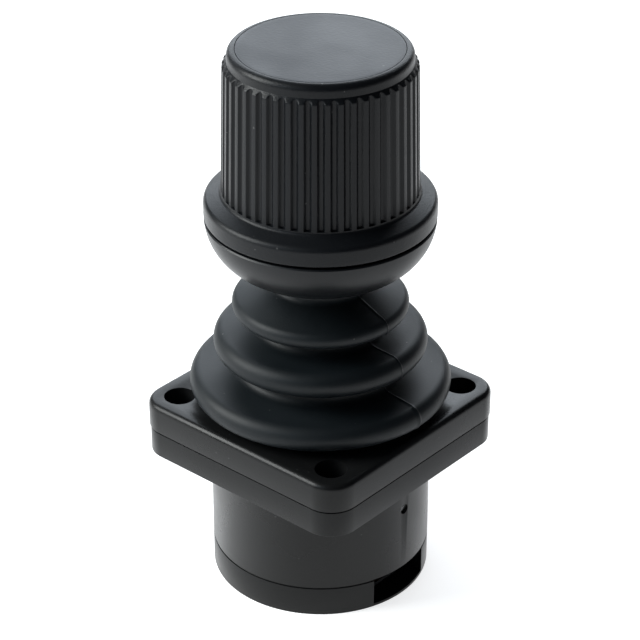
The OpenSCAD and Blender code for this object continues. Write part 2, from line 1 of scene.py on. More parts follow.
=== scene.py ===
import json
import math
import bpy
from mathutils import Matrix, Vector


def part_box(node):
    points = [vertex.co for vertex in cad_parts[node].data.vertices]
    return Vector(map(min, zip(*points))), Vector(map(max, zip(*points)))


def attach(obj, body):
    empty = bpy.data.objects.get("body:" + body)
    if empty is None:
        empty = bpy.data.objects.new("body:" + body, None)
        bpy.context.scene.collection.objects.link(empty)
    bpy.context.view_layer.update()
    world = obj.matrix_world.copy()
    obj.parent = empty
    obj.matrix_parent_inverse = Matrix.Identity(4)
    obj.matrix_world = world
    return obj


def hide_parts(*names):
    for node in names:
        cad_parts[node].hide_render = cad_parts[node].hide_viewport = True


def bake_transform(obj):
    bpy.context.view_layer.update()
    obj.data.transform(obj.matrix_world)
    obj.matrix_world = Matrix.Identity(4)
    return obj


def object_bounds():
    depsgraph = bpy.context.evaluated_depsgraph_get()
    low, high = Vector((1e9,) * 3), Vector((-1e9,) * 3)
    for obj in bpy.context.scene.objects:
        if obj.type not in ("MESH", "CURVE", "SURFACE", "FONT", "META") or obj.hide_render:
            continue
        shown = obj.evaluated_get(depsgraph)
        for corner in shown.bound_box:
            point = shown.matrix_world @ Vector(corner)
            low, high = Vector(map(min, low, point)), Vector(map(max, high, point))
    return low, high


bl_info = {
    "name": "Panel Joystick",
    "version": (1, 0, 0),
    "blender": (4, 5, 0),
    "location": "View3D > Sidebar > Joystick",
    "description": "Builds the looks of a three-axis panel joystick around its CAD frame",
    "category": "Object",
}

import bmesh
import bpy
from bpy.props import FloatProperty, FloatVectorProperty, IntProperty, PointerProperty
from mathutils import Vector

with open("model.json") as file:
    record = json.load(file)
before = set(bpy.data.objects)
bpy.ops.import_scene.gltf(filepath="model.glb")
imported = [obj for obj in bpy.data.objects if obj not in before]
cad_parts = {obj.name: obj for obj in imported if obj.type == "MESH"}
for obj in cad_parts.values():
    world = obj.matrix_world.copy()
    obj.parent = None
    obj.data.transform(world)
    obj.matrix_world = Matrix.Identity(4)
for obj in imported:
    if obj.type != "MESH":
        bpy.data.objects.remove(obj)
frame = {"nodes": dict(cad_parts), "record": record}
CAD_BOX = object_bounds()
NODES = frame["nodes"]

MM = 0.001
WELD = 0.002 * MM
TURN = 2 * math.pi

# Sizes of the construction that the pieces here have to meet
KNOB_RIM_WALL = 2.6 * MM
KNOB_TUBE_R = 9 * MM
KNOB_INSIDE_R = 16.8 * MM
CUP_ROOF = 2.6 * MM
BOOT_FOOT_R = 24.4 * MM
BOOT_FOOT = 1.8 * MM
FOOT_SEAT_R = 24.5 * MM
COUNTERBORE = 4.2 * MM
PIVOT_Z = -7.3 * MM
PIVOT_HOLE_R = 1.05 * MM
BODY_WALL = 2.2 * MM
WINDOW_HALF = 7.7 * MM
WINDOW_SILL = 0.6 * MM
WINDOW_DEEP_X = 16.8 * MM
HEADER_X = 10.2 * MM
COVER_FLOOR = 1.6 * MM
COVER_SCREWS_AT = 18.3 * MM
COVER_SCREW_HEAD_R = 2.2 * MM


# ---- Places that the CAD frame gives ----

def low(node):
    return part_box(node)[0].z


def high(node):
    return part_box(node)[1].z


def reach(node):
    """How far a node stands out from the lever's axis along X."""
    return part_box(node)[1].x


# ---- Sizes and colours that a user may change ----

class KnobSettings(bpy.types.PropertyGroup):
    rim_radius: FloatProperty(
        name="Rim radius", description="Radius over the flared rim of the knob",
        default=reach("knob_shell"), unit="LENGTH")
    skirt_radius: FloatProperty(
        name="Skirt radius", description="Radius over the ribs at their lower end",
        default=19.4 * MM, unit="LENGTH")
    skirt_top_radius: FloatProperty(
        name="Upper skirt radius", description="Radius over the ribs at their upper end",
        default=18.75 * MM, unit="LENGTH")
    rib_count: IntProperty(
        name="Ribs", description="Number of ribs around the knob", default=48, min=12)
    flute_radius: FloatProperty(
        name="Flute radius", description="Radius of the round flutes between the ribs",
        default=0.65 * MM, unit="LENGTH")
    rib_chamfer: FloatProperty(
        name="Rib chamfer", description="Chamfer that ends the ribs below the knob's shoulder",
        default=0.9 * MM, unit="LENGTH")
    shoulder: FloatProperty(
        name="Shoulder", description="Rounding of the knob's upper edge",
        default=1.4 * MM, unit="LENGTH")
    cap_radius: FloatProperty(
        name="Cap radius", description="Radius of the flush disc in the top of the knob",
        default=reach("knob_cap"), unit="LENGTH")
    cup_rounding: FloatProperty(
        name="Cup rounding", description="Radius of the bowl-shaped cup in profile",
        default=11.6 * MM, unit="LENGTH")
    colour: FloatVectorProperty(
        name="Knob colour", description="Plastic of the ribbed knob", subtype="COLOR",
        size=3, default=(0.0065, 0.0075, 0.009), min=0, max=1)
    cap_colour: FloatVectorProperty(
        name="Cap colour", description="Plastic of the cap", subtype="COLOR",
        size=3, default=(0.016, 0.018, 0.023), min=0, max=1)


class BootSettings(bpy.types.PropertyGroup):
    wall: FloatProperty(
        name="Wall", description="Thickness of the rubber", default=1 * MM, unit="LENGTH")
    neck_radius: FloatProperty(
        name="Neck radius", description="Radius of the boot's neck under the cup",
        default=9.6 * MM, unit="LENGTH")
    overhang: FloatProperty(
        name="Overhang", description="How far the lower fold hangs out over the throat",
        default=4.8 * MM, unit="LENGTH")
    radii: FloatVectorProperty(
        name="Fold radii", description="Radius over the upper and the middle fold",
        size=2, default=(17.7 * MM, 21.55 * MM), unit="LENGTH")
    heights: FloatVectorProperty(
        name="Fold heights", description="Height of each fold's edge above the bezel",
        size=3, default=(21.45 * MM, 13.2 * MM, 4 * MM), unit="LENGTH")
    edges: FloatVectorProperty(
        name="Fold edges", description="Radius of each fold's half-round edge",
        size=3, default=(1.85 * MM, 2.7 * MM, 2.65 * MM), unit="LENGTH")
    slopes: FloatVectorProperty(
        name="Fold slopes", description="Slope of the rubber above each fold, in degrees",
        size=3, default=(21.7, 1.6, 4.4))
    line_turn: FloatProperty(
        name="Mould line turn", description="Direction of the mould line off the X axis",
        default=math.radians(-1.4), subtype="ANGLE")
    line_height: FloatProperty(
        name="Mould line", description="Height of the parting line left by the mould",
        default=0.13 * MM, unit="LENGTH")
    colour: FloatVectorProperty(
        name="Rubber colour", description="Rubber of the boot", subtype="COLOR",
        size=3, default=(0.0055, 0.0085, 0.0105), min=0, max=1)


class HousingSettings(bpy.types.PropertyGroup):
    corner_radius: FloatProperty(
        name="Corner radius", description="Radius of the flange's corners",
        default=6 * MM, unit="LENGTH")
    edge_rounding: FloatProperty(
        name="Bezel rounding", description="Rounding of the bezel's upper edge",
        default=1.3 * MM, unit="LENGTH")
    seam: FloatProperty(
        name="Seam", description="Height of the shadow gaps between the mouldings",
        default=0.4 * MM, unit="LENGTH")
    seam_depth: FloatProperty(
        name="Seam depth", description="Depth of the gap between flange and bezel",
        default=0.8 * MM, unit="LENGTH")
    bolt_place: FloatProperty(
        name="Bolt place", description="Distance of each bolt hole from the middle along X and Y",
        default=20.3 * MM, unit="LENGTH")
    bolt_hole: FloatProperty(
        name="Bolt hole", description="Diameter of the bolt holes",
        default=3.4 * MM, unit="LENGTH")
    bolt_head: FloatProperty(
        name="Counterbore", description="Diameter of the counterbores",
        default=6.4 * MM, unit="LENGTH")
    colour: FloatVectorProperty(
        name="Housing colour", description="Plastic of flange, housing and cover",
        subtype="COLOR", size=3, default=(0.0075, 0.0078, 0.008), min=0, max=1)


class StageSettings(bpy.types.PropertyGroup):
    lens: FloatProperty(
        name="Lens", description="Focal length of the camera in millimetres", default=131.13)
    camera_distance: FloatProperty(
        name="Camera distance", description="Level distance from the lever's axis",
        default=404.58 * MM, unit="LENGTH")
    camera_height: FloatProperty(
        name="Camera height", description="Height of the camera above the panel",
        default=262.63 * MM, unit="LENGTH")
    camera_turn: FloatProperty(
        name="Camera turn", description="Direction of the camera around the lever",
        default=math.radians(40.95), subtype="ANGLE")
    camera_pitch: FloatProperty(
        name="Camera pitch", description="How far the camera looks down",
        default=math.radians(30.06), subtype="ANGLE")
    back_light: FloatProperty(
        name="Back light", description="Radiance of the large lamp behind the joystick",
        default=3.6)
    side_light: FloatProperty(
        name="Side light", description="Radiance of the lamp at the camera's left", default=12.0)
    front_light: FloatProperty(
        name="Front light", description="Radiance of the weak lamp at the front left",
        default=1.5)
    floor_glow: FloatProperty(
        name="Floor glow", description="How white the floor looks in the joystick's shadow",
        default=0.75, min=0, max=1)


# ---- Modelling helpers ----

def clear_selection():
    if bpy.context.object and bpy.context.object.mode != "OBJECT":
        bpy.ops.object.mode_set(mode="OBJECT")
    bpy.ops.object.select_all(action="DESELECT")


def added(name):
    """The object that the last add operator made, renamed, with its place in its mesh."""
    piece = bpy.context.object
    piece.name = piece.data.name = name
    bpy.ops.object.transform_apply(location=True, rotation=True, scale=True)
    return piece


def edit(piece):
    clear_selection()
    piece.select_set(True)
    bpy.context.view_layer.objects.active = piece
    bpy.ops.object.mode_set(mode="EDIT")
    bpy.ops.mesh.select_all(action="DESELECT")
    return bmesh.from_edit_mesh(piece.data)


def leave_edit():
    bpy.ops.object.mode_set(mode="OBJECT")


def pick_edges(piece, test):
    """Selects in edit mode the edges whose two ends pass a test of both places."""
    edit(piece)
    bpy.ops.mesh.select_mode(type="EDGE")
    mesh = bmesh.from_edit_mesh(piece.data)
    for e in mesh.edges:
        e.select_set(bool(test(e.verts[0].co, e.verts[1].co)))
    bmesh.update_edit_mesh(piece.data)


def arc(centre, radius, first, last, steps):
    """Points of an arc in a profile, angles in degrees."""
    points = []
    for i in range(steps + 1):
        a = math.radians(first + (last - first) * i / steps)
        points.append((centre[0] + radius * math.cos(a), centre[1] + radius * math.sin(a)))
    return points


def trace(name, outline):
    """A thin profile in the XZ plane, drawn by extruding one point along the outline."""
    clear_selection()
    bpy.ops.mesh.primitive_plane_add(size=MM)
    piece = added(name)
    edit(piece)
    bpy.ops.mesh.select_all(action="SELECT")
    bpy.ops.mesh.merge(type="CENTER")
    here = outline[0]
    bpy.ops.transform.translate(value=(here[0], 0, here[1]))
    for point in outline[1:]:
        step = (point[0] - here[0], 0, point[1] - here[1])
        bpy.ops.mesh.extrude_region_move(TRANSFORM_OT_translate={"value": step})
        here = point
    return piece


def turned(name, outline, steps=144):
    """A piece turned on the lever's axis from a closed profile."""
    piece = trace(name, outline + [outline[0]])
    bpy.ops.mesh.select_all(action="SELECT")
    bpy.ops.mesh.remove_doubles(threshold=WELD)
    bpy.ops.mesh.spin(steps=steps, angle=TURN, center=(0, 0, 0), axis=(0, 0, 1))
    close_up(piece)
    return piece


def close_up(piece):
    """Welds the doubles that a spin leaves and turns all faces outwards."""
    bpy.ops.mesh.select_all(action="SELECT")
    bpy.ops.mesh.remove_doubles(threshold=WELD)
    bpy.ops.mesh.normals_make_consistent(inside=False)
    leave_edit()


def smooth(piece, degrees=35):
    clear_selection()
    piece.select_set(True)
    bpy.context.view_layer.objects.active = piece
    bpy.ops.object.shade_smooth_by_angle(angle=math.radians(degrees))


def apply_modifier(piece, kind, **values):
    clear_selection()
    piece.select_set(True)
    bpy.context.view_layer.objects.active = piece
    modifier = piece.modifiers.new(kind.title(), kind)
    for key, value in values.items():
        setattr(modifier, key, value)
    bpy.ops.object.modifier_apply(modifier=modifier.name)


def rod(name, radius, bottom, top, place=(0, 0), sides=96):
    clear_selection()
    bpy.ops.mesh.primitive_cylinder_add(
        vertices=sides, radius=radius, depth=top - bottom,
        location=(place[0], place[1], (top + bottom) / 2))
    return added(name)


def block(name, lowest, highest):
    clear_selection()
    size = [b - a for a, b in zip(lowest, highest)]
    middle = [(a + b) / 2 for a, b in zip(lowest, highest)]
    bpy.ops.mesh.primitive_cube_add(size=1, location=middle, scale=size)
    return added(name)


def corners(distance):
    """The four places at a distance from the middle along both X and Y."""
    return [(x, y) for x in (-distance, distance) for y in (-distance, distance)]


def cut_away(piece, tools, operation="DIFFERENCE"):
    """Takes the tools out of a piece, or joins them to it, and removes them."""
    for tool in tools:
        apply_modifier(piece, "BOOLEAN", operation=operation, object=tool, solver="EXACT")
        bpy.data.objects.remove(tool)


def soften(piece, width, segments=3, degrees=40):
    """Rounds the sharp edges of a piece a little, as a mould leaves them."""
    apply_modifier(piece, "BEVEL", width=width, segments=segments, limit_method="ANGLE",
                   angle_limit=math.radians(degrees), use_clamp_overlap=True)
    smooth(piece)


def square_slab(name, width, bottom, top, corner, edge):
    """A square slab with round corners and a rounded upper edge."""
    half = width / 2
    slab = block(name, (-half, -half, bottom), (half, half, top))
    pick_edges(slab, lambda a, b: abs(a.z - b.z) > MM)
    bpy.ops.mesh.bevel(offset=corner, segments=16, affect="EDGES", clamp_overlap=False)
    leave_edit()
    if edge:
        pick_edges(slab, lambda a, b: min(a.z, b.z) > top - WELD)
        bpy.ops.mesh.bevel(offset=edge, segments=7, affect="EDGES", clamp_overlap=False)
        leave_edit()
    return slab


def finish(piece, body, material, slot_name, *nodes):
    """Dresses a new piece, lets it ride on its body and hides the nodes it stands for."""
    dress(piece, material)
    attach(piece, body)
    stand_in(piece, slot_name, *nodes)


def stand_in(piece, slot_name, *nodes):
    if nodes:
        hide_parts(*nodes)


def dress(piece, material):
    piece.data.materials.clear()
    piece.data.materials.append(material)


# ---- Material helpers ----

def new_group(name, inputs, outputs):
    group = bpy.data.node_groups.new(name, "ShaderNodeTree")
    for label, kind, value in inputs:
        socket = group.interface.new_socket(label, in_out="INPUT", socket_type=kind)
        socket.default_value = value
    for label, kind in outputs:
        group.interface.new_socket(label, in_out="OUTPUT", socket_type=kind)
    return group, group.nodes.new("NodeGroupInput"), group.nodes.new("NodeGroupOutput")


def joined(tree, kind, values=(), **settings):
    """A new node with its settings; values are (socket, source or constant) pairs."""
    node = tree.nodes.new(kind)
    for key, value in settings.items():
        setattr(node, key, value)
    for socket, value in values:
        if isinstance(value, bpy.types.NodeSocket):
            tree.links.new(value, node.inputs[socket])
        else:
            node.inputs[socket].default_value = value
    return node


def maths(tree, operation, *values):
    node = joined(tree, "ShaderNodeMath", list(enumerate(values)), operation=operation)
    return node.outputs[0]


def mould_grain_group():
    """The fine pebbled grain of a spark-eroded mould, as a height."""
    group, given, result = new_group(
        "Mould grain",
        [("Vector", "NodeSocketVector", (0, 0, 0)), ("Scale", "NodeSocketFloat", 2500.0),
         ("Coarseness", "NodeSocketFloat", 0.5)],
        [("Height", "NodeSocketFloat")])
    fine = joined(group, "ShaderNodeTexNoise",
                  [("Vector", given.outputs["Vector"]), ("Scale", given.outputs["Scale"]),
                   ("Detail", 3.0), ("Roughness", 0.6)])
    cells = joined(group, "ShaderNodeTexVoronoi",
                   [("Vector", given.outputs["Vector"]), ("Scale", given.outputs["Scale"]),
                    ("Smoothness", 0.6)], feature="SMOOTH_F1")
    mixed = joined(group, "ShaderNodeMix",
                   [(0, given.outputs["Coarseness"]), (2, fine.outputs[0]),
                    (3, cells.outputs["Distance"])])
    group.links.new(mixed.outputs[0], result.inputs["Height"])
    return group


def handling_group():
    """Soft patches left by handling, and a few dust specks, as two masks."""
    group, given, result = new_group(
        "Handling",
        [("Vector", "NodeSocketVector", (0, 0, 0)), ("Patch scale", "NodeSocketFloat", 60.0),
         ("Speck scale", "NodeSocketFloat", 900.0), ("Speck share", "NodeSocketFloat", 0.06)],
        [("Patches", "NodeSocketFloat"), ("Specks", "NodeSocketFloat")])
    patches = joined(group, "ShaderNodeTexNoise",
                     [("Vector", given.outputs["Vector"]),
                      ("Scale", given.outputs["Patch scale"]), ("Detail", 5.0)])
    spread = joined(group, "ShaderNodeMapRange",
                    [("Value", patches.outputs[0]), ("From Min", 0.35), ("From Max", 0.65)])
    cells = joined(group, "ShaderNodeTexVoronoi",
                   [("Vector", given.outputs["Vector"]),
                    ("Scale", given.outputs["Speck scale"])], feature="F1")
    size = joined(group, "ShaderNodeSeparateColor", [(0, cells.outputs["Color"])])
    chosen = maths(group, "LESS_THAN", size.outputs[0], given.outputs["Speck share"])
    radius = maths(group, "MULTIPLY", size.outputs[1], 0.22)
    inside = maths(group, "LESS_THAN", cells.outputs["Distance"], radius)
    group.links.new(spread.outputs[0], result.inputs["Patches"])
    group.links.new(maths(group, "MULTIPLY", chosen, inside), result.inputs["Specks"])
    return group


GROUPS = {}


def effect(name):
    """Each shared effect is built once."""
    makers = {"grain": mould_grain_group, "handling": handling_group}
    if name not in GROUPS:
        GROUPS[name] = makers[name]()
    return GROUPS[name]


def moulded(name, colour, roughness, grain_scale, grain_depth, coarseness=0.5,
            speck_share=0.05, specular=0.28, patch=0.05, dust=0.06):
    """Moulded plastic or rubber: a grain, soft patches of roughness and a little dust."""
    material = bpy.data.materials.new(name)
    material.use_nodes = True
    tree = material.node_tree
    shader = tree.nodes["Principled BSDF"]
    place = tree.nodes.new("ShaderNodeTexCoord").outputs["Object"]
    handled = joined(tree, "ShaderNodeGroup", node_tree=effect("handling"))
    tree.links.new(place, handled.inputs["Vector"])
    handled.inputs["Speck share"].default_value = speck_share
    grain = joined(tree, "ShaderNodeGroup", node_tree=effect("grain"))
    tree.links.new(place, grain.inputs["Vector"])
    grain.inputs["Scale"].default_value = grain_scale
    grain.inputs["Coarseness"].default_value = coarseness
    tint = joined(tree, "ShaderNodeMix", [(0, handled.outputs["Patches"])], data_type="RGBA")
    tint.inputs[6].default_value = [c * 0.88 for c in colour] + [1]
    tint.inputs[7].default_value = [min(c * 1.12, 1) for c in colour] + [1]
    dusty = joined(tree, "ShaderNodeMix", [(0, handled.outputs["Specks"])], data_type="RGBA")
    tree.links.new(tint.outputs[2], dusty.inputs[6])
    dusty.inputs[7].default_value = (dust, dust, dust, 1)
    tree.links.new(dusty.outputs[2], shader.inputs["Base Color"])
    rough = joined(tree, "ShaderNodeMapRange",
                   [("Value", handled.outputs["Patches"]),
                    ("To Min", roughness - patch), ("To Max", roughness + patch)])
    tree.links.new(rough.outputs[0], shader.inputs["Roughness"])
    bump = joined(tree, "ShaderNodeBump",
                  [("Height", grain.outputs[0]), ("Strength", 1.0), ("Distance", grain_depth)])
    tree.links.new(bump.outputs[0], shader.inputs["Normal"])
    shader.inputs["Specular IOR Level"].default_value = specular
    return material


def metal(name, colour, roughness, brushed_scale=400.0):
    """Turned or drawn metal with fine tool marks."""
    material = bpy.data.materials.new(name)
    material.use_nodes = True
    tree = material.node_tree
    shader = tree.nodes["Principled BSDF"]
    shader.inputs["Metallic"].default_value = 1.0
    place = tree.nodes.new("ShaderNodeTexCoord").outputs["Object"]
    marks = joined(tree, "ShaderNodeTexNoise",
                   [("Vector", place), ("Scale", brushed_scale), ("Detail", 4.0)])
    rough = joined(tree, "ShaderNodeMapRange",
                   [("Value", marks.outputs[0]), ("To Min", roughness - 0.08),
                    ("To Max", roughness + 0.1)])
    tree.links.new(rough.outputs[0], shader.inputs["Roughness"])
    tint = joined(tree, "ShaderNodeMix", [(0, marks.outputs[0])], data_type="RGBA")
    tint.inputs[6].default_value = [c * 0.85 for c in colour] + [1]
    tint.inputs[7].default_value = list(colour) + [1]
    tree.links.new(tint.outputs[2], shader.inputs["Base Color"])
    return material


# ---- Knob ----

class JOYSTICK_OT_knob_shell(bpy.types.Operator):
    """Ribbed knob with its flared rim"""
    bl_idname = "joystick.knob_shell"
    bl_label = "Knob shell"

    def execute(self, context):
        knob = context.scene.joystick_knob
        base, top = low("knob_shell"), high("knob_shell")
        rim, skirt, upper = knob.rim_radius, knob.skirt_radius, knob.skirt_top_radius
        edge, rounding, fillet = 0.5 * MM, 1.3 * MM, 0.8 * MM
        slope = 22
        tilt = math.radians(slope)
        middle = (rim - rounding, base + 2.9 * MM)
        flare = (middle[0] + rounding * math.sin(tilt), middle[1] + rounding * math.cos(tilt))
        run = flare[0] - skirt - fillet * (1 - math.sin(tilt))
        skirt_z = flare[1] + run * math.tan(tilt) + fillet * math.cos(tilt)
        rib_z = top - 3.4 * MM
        wall = upper - knob.rib_chamfer
        outline = [(rim - KNOB_RIM_WALL, base)]
        outline += arc((rim - edge, base + edge), edge, -90, 0, 6)
        outline += arc(middle, rounding, 0, 90 - slope, 18)
        outline += arc((skirt + fillet, skirt_z), fillet, 270 - slope, 180, 12)

        def skirt_at(z):
            return skirt + (upper - skirt) * (z - skirt_z) / (rib_z - skirt_z)

        levels = [skirt_z + 0.04 * MM, skirt_z + 0.3 * MM]
        levels += [rib_z - 6 * MM, rib_z - 0.3 * MM, rib_z - 0.03 * MM]
        outline += [(skirt_at(z), z) for z in levels]
        for i in range(13):
            fall = knob.rib_chamfer * (i + 0.3) / 12.3
            outline.append((upper - fall, rib_z + fall))
        outline += arc((wall - knob.shoulder, top - knob.shoulder), knob.shoulder, 0, 90, 12)
        recess, floor = knob.cap_radius + 0.1 * MM, low("knob_cap")
        web_z = floor - 2 * MM
        outline += [(recess, top), (recess, floor), (KNOB_TUBE_R, floor), (KNOB_TUBE_R, web_z),
                    (KNOB_INSIDE_R, web_z), (KNOB_INSIDE_R, skirt_z),
                    (rim - KNOB_RIM_WALL, base + 2 * MM)]
        piece = trace("ribbed_knob", outline + [outline[0]])
        bpy.ops.mesh.select_all(action="SELECT")
        bpy.ops.mesh.remove_doubles(threshold=WELD)
        pitch = TURN / knob.rib_count
        steps = 16
        bpy.ops.mesh.spin(steps=steps, angle=pitch, center=(0, 0, 0), axis=(0, 0, 1))
        self.cut_flutes(piece, knob, pitch / steps, steps, skirt_at,
                        (skirt_z + 0.01 * MM, rib_z + knob.rib_chamfer))
        bpy.ops.mesh.select_all(action="SELECT")
        bpy.ops.mesh.spin(steps=knob.rib_count - 1, angle=TURN - pitch, dupli=True,
                          center=(0, 0, 0), axis=(0, 0, 1))
        close_up(piece)
        smooth(piece, 38)
        plastic = moulded("knob plastic", knob.colour, 0.36, 3200, 0.05 * MM, 0.35, 0.04,
                          specular=0.2)
        finish(piece, "knob", plastic, "knob_plastic", "knob_shell")
        return {"FINISHED"}

    def cut_flutes(self, piece, knob, step, steps, skirt_at, span):
        """Moves the points of one sector towards the axis, where the flute runs."""
        mesh = bmesh.from_edit_mesh(piece.data)
        radius = knob.flute_radius
        lip, inner_wall = 0.1 * MM, 17.2 * MM
        groups = {}
        for v in mesh.verts:
            distance = math.hypot(v.co.x, v.co.y)
            if not span[0] < v.co.z < span[1] or distance < inner_wall:
                continue
            column = round(math.atan2(v.co.y, v.co.x) / step)
            across = distance * step * abs(abs(column) - steps / 2)
            room = radius ** 2 - across ** 2
            inward = math.sqrt(room) if room > 0 else radius - across
            depth = distance - skirt_at(v.co.z) + inward
            depth = (depth + math.sqrt(depth ** 2 + lip ** 2)) / 2
            if depth > 0.004 * MM:
                groups.setdefault(round(1 - depth / distance, 5), []).append(v.index)
        for share, places in sorted(groups.items()):
            mesh = bmesh.from_edit_mesh(piece.data)
            mesh.verts.ensure_lookup_table()
            for v in mesh.verts:
                v.select_set(False)
            for i in places:
                mesh.verts[i].select_set(True)
            bmesh.update_edit_mesh(piece.data)
            bpy.ops.transform.resize(value=(share, share, 1), center_override=(0, 0, 0))


class JOYSTICK_OT_knob_cap(bpy.types.Operator):
    """Flush disc with a fine grain in the top of the knob"""
    bl_idname = "joystick.knob_cap"
    bl_label = "Knob cap"

    def execute(self, context):
        knob = context.scene.joystick_knob
        bottom, top = low("knob_cap"), high("knob_cap")
        r, edge = knob.cap_radius, 0.08 * MM
        outline = [(0, bottom), (r, bottom)]
        outline += arc((r - edge, top - edge), edge, 0, 90, 4)
        outline += [(r - MM, top), (0, top)]
        piece = turned("grained_cap", outline, 192)
        smooth(piece, 40)
        plastic = moulded("cap plastic", knob.cap_colour, 0.44, 1500, 0.035 * MM, 0.45, 0.02)
        finish(piece, "knob", plastic, "cap_plastic", "knob_cap")
        return {"FINISHED"}


class JOYSTICK_OT_handle_cup(bpy.types.Operator):
    """Smooth bowl-shaped cup under the knob"""
    bl_idname = "joystick.handle_cup"
    bl_label = "Handle cup"

    def execute(self, context):
        knob = context.scene.joystick_knob
        bottom = low("handle_cup")
        cup = knob.cup_rounding
        middle = (reach("handle_cup") - cup, bottom + cup)
        rim_z = low("knob_shell") - 0.5 * MM
        lip_r, lip = knob.rim_radius - KNOB_RIM_WALL - 0.3 * MM, 1.6 * MM
        rise = math.degrees(math.asin((rim_z - 0.25 * MM - middle[1]) / cup))
        roof, ceiling = bottom + CUP_ROOF, bottom + CUP_ROOF + 1.8 * MM
        bore = 3.5 * MM
        neck = context.scene.joystick_boot.neck_radius + 0.4 * MM
        inner = cup - 2.2 * MM
        edge = 0.35 * MM
        outline = [(bore, roof), (neck, roof), (neck, bottom + edge)]
        outline += arc((neck + edge, bottom + edge), edge, 200, 265, 4)
        outline += arc(middle, cup, -90, rise, 48)
        outline += [(reach("handle_cup") - 0.25 * MM, rim_z), (lip_r, rim_z),
                    (lip_r, rim_z + lip), (lip_r - MM, rim_z + lip)]
        outline += arc(middle, inner, -14, -80, 16)
        outline += [(neck + 3.1 * MM, ceiling), (bore, ceiling)]
        piece = turned("smooth_cup", outline, 192)
        smooth(piece, 40)
        plastic = moulded("cup plastic", knob.colour, 0.36, 3600, 0.02 * MM, 0.3, 0.03)
        finish(piece, "lever", plastic, "cup_plastic", "handle_cup")
        return {"FINISHED"}


# ---- Boot ----

def fold(f):
    """The half-round edge of a fold, from the slope above it to its underside."""
    x, z, edge, slope = f
    return arc((x, z), edge, 90 - slope, -90, 24)


def valley(f, g, x, steps=12):
    """The half-round valley at x, from the underside of fold f to the slope above fold g."""
    slope = math.radians(g[3])
    under = f[1] - f[2]
    end = (g[0] + g[2] * math.sin(slope), g[1] + g[2] * math.cos(slope))
    rise = under - end[1] - math.tan(slope) * (end[0] - x)
    r = rise / (1 + 1 / math.cos(slope))
    return arc((x, under - r), r, 90, 270 - g[3], steps)


def throat():
    """Radius of the boot where it goes down through the bezel's opening."""
    return reach("bottom_cover") - 0.8 * MM


def boot_outline(boot, bezel_top, foot_top, cup_low):
    """The outer profile from the neck down to the foot, and the index of the upper valley."""
    neck, fillet, foot_fillet = boot.neck_radius, 1.5 * MM, 0.5 * MM
    over = list(boot.radii) + [throat() + boot.overhang]
    folds = [(r - edge, bezel_top + height, edge, slope)
             for r, height, edge, slope in zip(over, boot.heights, boot.edges, boot.slopes)]
    slope = math.radians(folds[0][3])
    first = fold(folds[0])[0]
    run = first[0] - neck - fillet * (1 - math.sin(slope))
    turn_z = first[1] + math.tan(slope) * run + fillet * math.cos(slope)
    points = [(neck, cup_low + 2.4 * MM), (neck, cup_low + 0.6 * MM)]
    points += arc((neck + fillet, turn_z), fillet, 180, 270 - folds[0][3], 9)
    points += fold(folds[0])
    seam = len(points) + 6
    points += valley(folds[0], folds[1], folds[0][0] - 1.5 * MM)
    points += fold(folds[1])
    points += valley(folds[1], folds[2], folds[1][0] - 0.4 * MM)
    points += fold(folds[2])
    under = folds[2][1] - folds[2][2]
    points += arc((throat() + foot_fillet, under - foot_fillet), foot_fillet, 90, 180, 6)
    points += [(throat(), foot_top)]
    return points, seam


def beside(points, distance):
    """The profile moved sideways by the rubber's thickness."""
    moved = []
    for i, here in enumerate(points):
        a = Vector(points[max(i - 1, 0)])
        b = Vector(points[min(i + 1, len(points) - 1)])
        way = (b - a).normalized()
        moved.append((here[0] + distance * way.y, here[1] - distance * way.x))
    return moved


class JOYSTICK_OT_boot(bpy.types.Operator):
    """Rubber bellows boot in two lengths, an upper and a lower, split at the upper valley"""
    bl_idname = "joystick.boot"
    bl_label = "Boot"

    def execute(self, context):
        boot = context.scene.joystick_boot
        rubber = moulded("boot rubber", boot.colour, 0.5, 2600, 0.02 * MM, 0.4, 0.05)
        foot_top = low("boot") + BOOT_FOOT
        points, seam = boot_outline(boot, high("bezel"), foot_top, low("handle_cup"))
        foot = [(BOOT_FOOT_R, foot_top), (BOOT_FOOT_R, low("boot")),
                (points[-1][0] - boot.wall, low("boot"))]
        inner = beside(points, boot.wall)
        upper = self.length("boot_upper", points[:seam + 1], [], inner[:seam + 1], boot)
        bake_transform(upper)
        lower = self.length("boot_lower", points[seam:], foot, inner[seam:], boot)
        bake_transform(lower)
        for piece in (upper, lower):
            dress(piece, rubber)
            stand_in(piece, "boot_rubber", "boot")
        return {"FINISHED"}

    def length(self, name, outer, foot, inner, boot):
        piece = turned(name, outer + foot + inner[::-1], 192)
        self.mould_line(piece, boot, {(round(r, 6), round(z, 6)) for r, z in outer[1:-1]})
        smooth(piece, 50)
        return piece

    def mould_line(self, piece, boot, outer):
        """Raises the thin line where the mould's halves met, along the X axis on both sides."""
        across = Vector((-math.sin(boot.line_turn), math.cos(boot.line_turn), 0))
        crest, foot = 0.1 * MM, 0.28 * MM
        for aside in (-foot, -crest, crest, foot):
            edit(piece)
            bpy.ops.mesh.select_all(action="SELECT")
            bpy.ops.mesh.bisect(plane_co=aside * across, plane_no=across)
        mesh = edit(piece)
        for v in mesh.verts:
            near = (round(math.hypot(v.co.x, v.co.y), 6), round(v.co.z, 6))
            on_crest = abs(v.co.dot(across)) < crest + 0.01 * MM
            v.select_set(on_crest and self.close_to(near, outer))
        bmesh.update_edit_mesh(piece.data)
        bpy.ops.transform.shrink_fatten(value=boot.line_height)
        leave_edit()

    def close_to(self, place, outer):
        """Whether a radius and height lie on the outer profile, to a few micrometres."""
        return any(abs(place[0] - r) < 5e-6 and abs(place[1] - z) < 3e-6 for r, z in outer)


# ---- Housing ----

